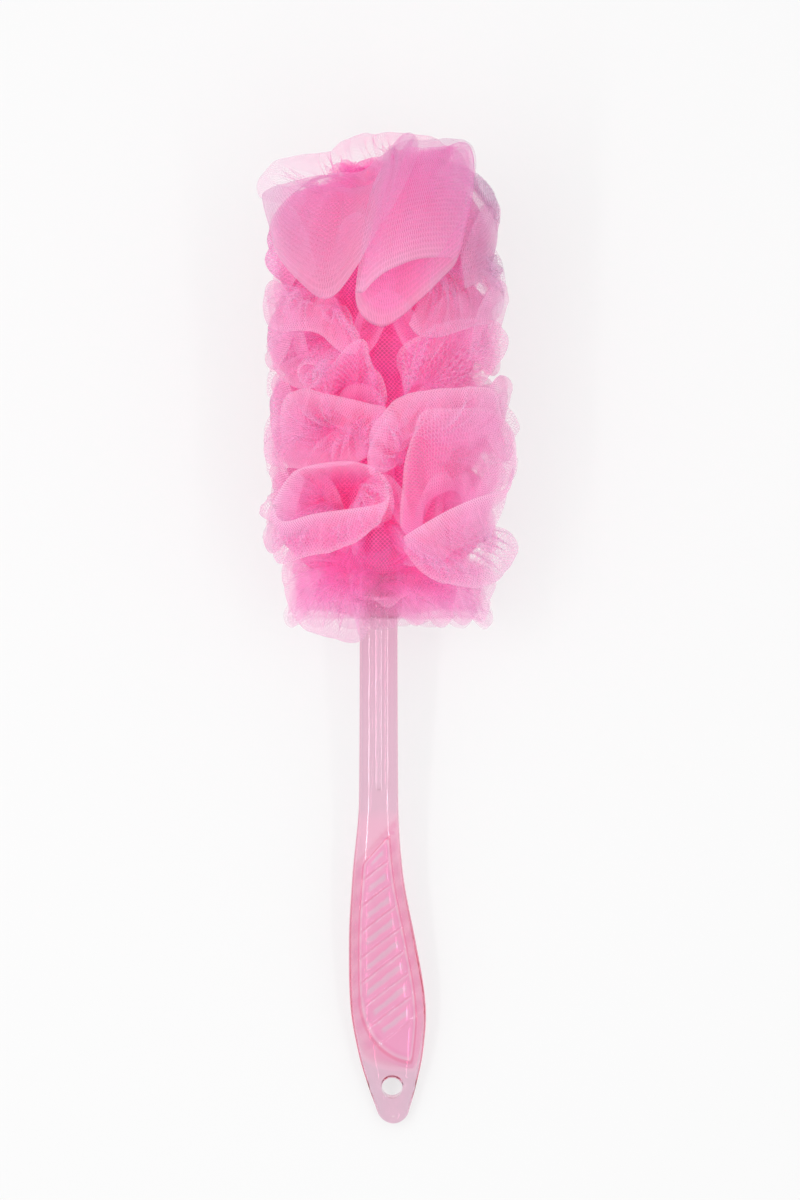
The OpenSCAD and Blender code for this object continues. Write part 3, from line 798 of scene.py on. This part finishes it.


# Clear pink plastic: light is soaked up along its way through the body. In the panel the ribs carry
# painted light: a cool, pale band on each rib's slope, a painted deep pink reflection at the steps and
# along the panel's rim, and a painted white highlight line beside them.
def plasticMaterial():
    look = plasticLook
    plain = look["tint"]
    pink = look["panelTint"]
    material, tree = newMaterial("clear pink plastic")
    rib = readLayer(tree, "ribPlace")
    inset = readLayer(tree, "panelInset")
    place = tree.nodes.new("ShaderNodeTexCoord").outputs["Object"]
    # noise bends the ribs' painted light bands, and the border's patches, a little
    bandWobble = tree.nodes.new("ShaderNodeTexNoise")
    bandWobble.inputs["Scale"].default_value = look["bandWobbleScale"]
    tree.links.new(place, bandWobble.inputs["Vector"])
    wobble = calc(tree, "MULTIPLY", calc(tree, "SUBTRACT", bandWobble.outputs["Fac"], 0.5), look["bandWobble"])
    bent = calc(tree, "ADD", rib, wobble)
    # painted light on each rib: a deep pink reflection just past its step, a pale band on its slope and a
    # white highlight on its crest
    stepReflection = [(0.0, (0.96, 0.30, 0.54)), (0.05, (0.98, 0.38, 0.66)), (0.10, pink)]
    crestHighlight = [(0.88, pink), (0.92, (1.0, 0.58, 0.84)), (0.96, (1.0, 0.92, 1.0))]
    paleBandLight = [(0.28, pink), (0.40, (0.88, 0.72, 0.87)), (0.54, (0.86, 0.77, 0.89)), (0.66, pink)]
    ribEnd = colourSteps(tree, rib, stepReflection + crestHighlight)
    ribMiddle = colourSteps(tree, bent, stepReflection[:1] + stepReflection[2:] + paleBandLight + crestHighlight[1:])
    ribTint = blend(tree, ramp(tree, inset, 0.72, 0.80), ribEnd, ribMiddle)
    # painted light along the panel's rim: a deep pink reflection line and a white highlight line beside it
    rimTint = colourSteps(tree, inset, [
        (0.0, plain), (0.05, plain), (0.10, look["gripTint"]), (0.22, (0.95, 0.58, 0.74)),
        (0.45, (0.98, 0.54, 0.74)), (0.49, (0.92, 0.26, 0.44)), (0.52, (0.95, 0.34, 0.54)),
        (0.55, (1.0, 0.86, 0.96)), (0.62, pink)])
    # the border is a deeper pink beside every second half of a rib
    patches = colourSteps(tree, bent, [
        (0.0, (1, 1, 1)), (0.25, (0.95, 0.72, 0.84)), (0.5, (0.95, 0.74, 0.86)), (0.75, (1, 1, 1))])
    patched = blend(tree, ramp(tree, inset, 0.16, 0.36), rimTint, patches, "MULTIPLY")
    tint = blend(tree, ramp(tree, inset, 0.60, 0.68), patched, ribTint)
    # the neck is a little deeper, and pinker where it nears the netting, a painted pink cast from the
    # netting: 0 to 1 is 200 mm from the hole
    fromHole = ramp(tree, takeApart(tree, place)[1], holePlace[1] * mm, (holePlace[1] + 200) * mm)
    deeper = colourSteps(tree, fromHole, [
        (0.0, (1, 1, 1)), (0.5, (1, 1, 1)), (0.62, (0.95, 0.95, 0.95)), (0.72, (0.95, 0.95, 0.95)),
        (0.9, (0.94, 0.84, 0.89))])
    body = tree.nodes.new("ShaderNodeBsdfPrincipled")
    tree.links.new(blend(tree, 1.0, tint, deeper, "MULTIPLY"), body.inputs["Base Color"])
    body.inputs["Roughness"].default_value = look["rough"]
    body.inputs["Transmission Weight"].default_value = 1.0
    body.inputs["IOR"].default_value = look["ior"]
    soak = tree.nodes.new("ShaderNodeVolumeAbsorption")
    soak.inputs["Color"].default_value = (*look["keep"], 1)
    soak.inputs["Density"].default_value = look["density"]
    shadeWith(tree, body.outputs[0])
    shadeWith(tree, soak.outputs[0], "Volume")
    return material


# Marks each point of the handle with its depth inside the panel, 12 mm spread over 0 to 1 with the
# outline at one half and fading out at the grip's ends, and with its place across its rib.
def markPanel(piece):
    count = len(piece.data.vertices)
    flat = np.empty(count * 3, np.float32)
    piece.data.vertices.foreach_get("co", flat)
    p = flat.reshape(-1, 3) / mm - [rodX, holePlace[1], holePlace[2]]
    c, s = math.cos(lieAngle), math.sin(lieAngle)
    x, y, z = p[:, 0], p[:, 1] * c + p[:, 2] * s, p[:, 2] * c - p[:, 1] * s
    inset = np.where(z > 2.5, np.clip(insidePanel(x, y) / 12 + 0.5, 0.1, 1), 0.1 * (z < 0))
    onGrip = smoothStep((y - 3) / 12) * smoothStep((122 - y) / 16)
    inset = np.where(inset < 0.4, inset * onGrip, inset)
    across = ribCount(x, y)
    across = np.where((across < 0) | (across > handle["ribs"]), 0.2, across - np.floor(across))
    for key, values in dict(panelInset=inset, ribPlace=across).items():
        layer = piece.data.attributes.new(key, "FLOAT", "POINT")
        layer.data.foreach_set("value", values.astype(np.float32))


plastic = plasticMaterial()
body = handlePiece()
markPanel(body)
body.data.materials.clear()
body.data.materials.append(plastic)
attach(body, "root")
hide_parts("handle")
print("handle", len(body.data.polygons), "faces")


cordLook = dict(shadedStrand=(0.80, 0.30, 0.50), light=(0.95, 0.62, 0.76), twist=900.0, uneven=0.4, rough=0.45)


# Nylon cord: satin thread with a fine slanting twist, from a wave along and round each cord. Its darker
# strands are painted shade in the twist's grooves and its lighter ones painted light.
def cordMaterial():
    material, tree = newMaterial("nylon tie cord")
    twist = tree.nodes.new("ShaderNodeTexWave")
    twist.wave_type = "BANDS"
    twist.bands_direction = "DIAGONAL"
    twist.inputs["Scale"].default_value = cordLook["twist"]
    twist.inputs["Distortion"].default_value = cordLook["uneven"]
    tree.links.new(tree.nodes.new("ShaderNodeTexCoord").outputs["Object"], twist.inputs["Vector"])
    cord = tree.nodes.new("ShaderNodeBsdfPrincipled")
    cord.inputs["Roughness"].default_value = cordLook["rough"]
    strands = blend(tree, twist.outputs["Fac"], cordLook["shadedStrand"], cordLook["light"])
    tree.links.new(strands, cord.inputs["Base Color"])
    shadeWith(tree, cord.outputs[0])
    return material


nylon = cordMaterial()
for key in ruffs:
    tie = frame["nodes"][key + "_tie"]
    tie.data.materials.clear()
    tie.data.materials.append(nylon)
    print(key, "tie cord dressed")

# Floor, lights and camera. Lengths are in mm, and the camera's centre is from the rod and the hole.
stage = dict(
    floor=0.24, glow=0.655,                         # floor's grey and its own light
    horizon=0.82, zenith=1.06,                      # room's brightness, low and high
    keyPower=3.0, stripPower=2.2,
    lens=180.0, viewHeight=480.0, centreX=8.6, centreY=196.6, focusZ=30.0)
floorMesh = bpy.data.meshes.new("floor")
floorMesh.from_pydata([(-4, -4, 0), (4, -4, 0), (4, 4, 0), (-4, 4, 0)], [], [(0, 1, 2, 3)])
floor = bpy.data.objects.new("floor", floorMesh)
scene.collection.objects.link(floor)
floorMaterial, tree = newMaterial("pale floor")
matte = tree.nodes.new("ShaderNodeBsdfPrincipled")
matte.inputs["Base Color"].default_value = (stage["floor"],) * 3 + (1,)
matte.inputs["Roughness"].default_value = 0.9
matte.inputs["Specular IOR Level"].default_value = 0.0
matte.inputs["Emission Color"].default_value = (1, 1, 1, 1)
matte.inputs["Emission Strength"].default_value = stage["glow"]
shadeWith(tree, matte.outputs[0])
floorMesh.materials.append(floorMaterial)

# Brightness climbs from the horizon to the top of the room
world = bpy.data.worlds.new("soft room")
scene.world = world
world.use_nodes = True
tree = world.node_tree
sky = tree.nodes["Background"]
sky.inputs[0].default_value = (1, 1, 1, 1)
around = tree.nodes.new("ShaderNodeTexCoord").outputs["Generated"]
climb = tree.nodes.new("ShaderNodeMapRange")
climb.inputs["To Min"].default_value = stage["horizon"]
climb.inputs["To Max"].default_value = stage["zenith"]
tree.links.new(takeApart(tree, around)[2], climb.inputs["Value"])
tree.links.new(climb.outputs[0], sky.inputs[1])


# Area light aimed at the rod from where it hangs, in metres.
def softLight(name, place, shape, size, sizeY, power):
    light = bpy.data.lights.new(name, "AREA")
    light.shape = shape
    light.size = size
    light.size_y = sizeY
    light.energy = power
    lamp = bpy.data.objects.new(name, light)
    lamp.location = place
    aim = np.array([0.0, place[1], 0.0]) - place
    lamp.rotation_mode = "XYZ"
    lamp.rotation_euler = (0, math.atan2(-aim[0], -aim[2]), 0)
    scene.collection.objects.link(lamp)


softLight("key softbox", (-0.9, 0.3, 1.6), "DISK", 1.2, 1.2, stage["keyPower"])
softLight("left strip", (-0.50, -0.05, 0.9), "RECTANGLE", 0.06, 0.8, stage["stripPower"])
softLight("right strip", (0.42, -0.05, 0.9), "RECTANGLE", 0.04, 0.8, 0.6 * stage["stripPower"])

camera = bpy.data.cameras.new("camera")
camera.lens = stage["lens"]
cameraObject = bpy.data.objects.new("camera", camera)
sensor = 36.0                         # longer side of the camera's sensor
# It hangs straight above, from where it takes in viewHeight at the height of focusZ
distance = stage["viewHeight"] * stage["lens"] / sensor
cameraObject.location = ((rodX + stage["centreX"]) * mm, (holePlace[1] + stage["centreY"]) * mm,
                         (stage["focusZ"] + distance) * mm)
camera.clip_end = 20
scene.collection.objects.link(cameraObject)
scene.camera = cameraObject
scene.view_settings.view_transform = "Standard"
# Light passes many layers of netting and turns many times inside the plastic
scene.cycles.transparent_max_bounces = 64
scene.cycles.max_bounces = 18
scene.cycles.diffuse_bounces = 9
scene.cycles.glossy_bounces = 14
scene.cycles.transmission_bounces = 18
print("floor, lights and camera placed")
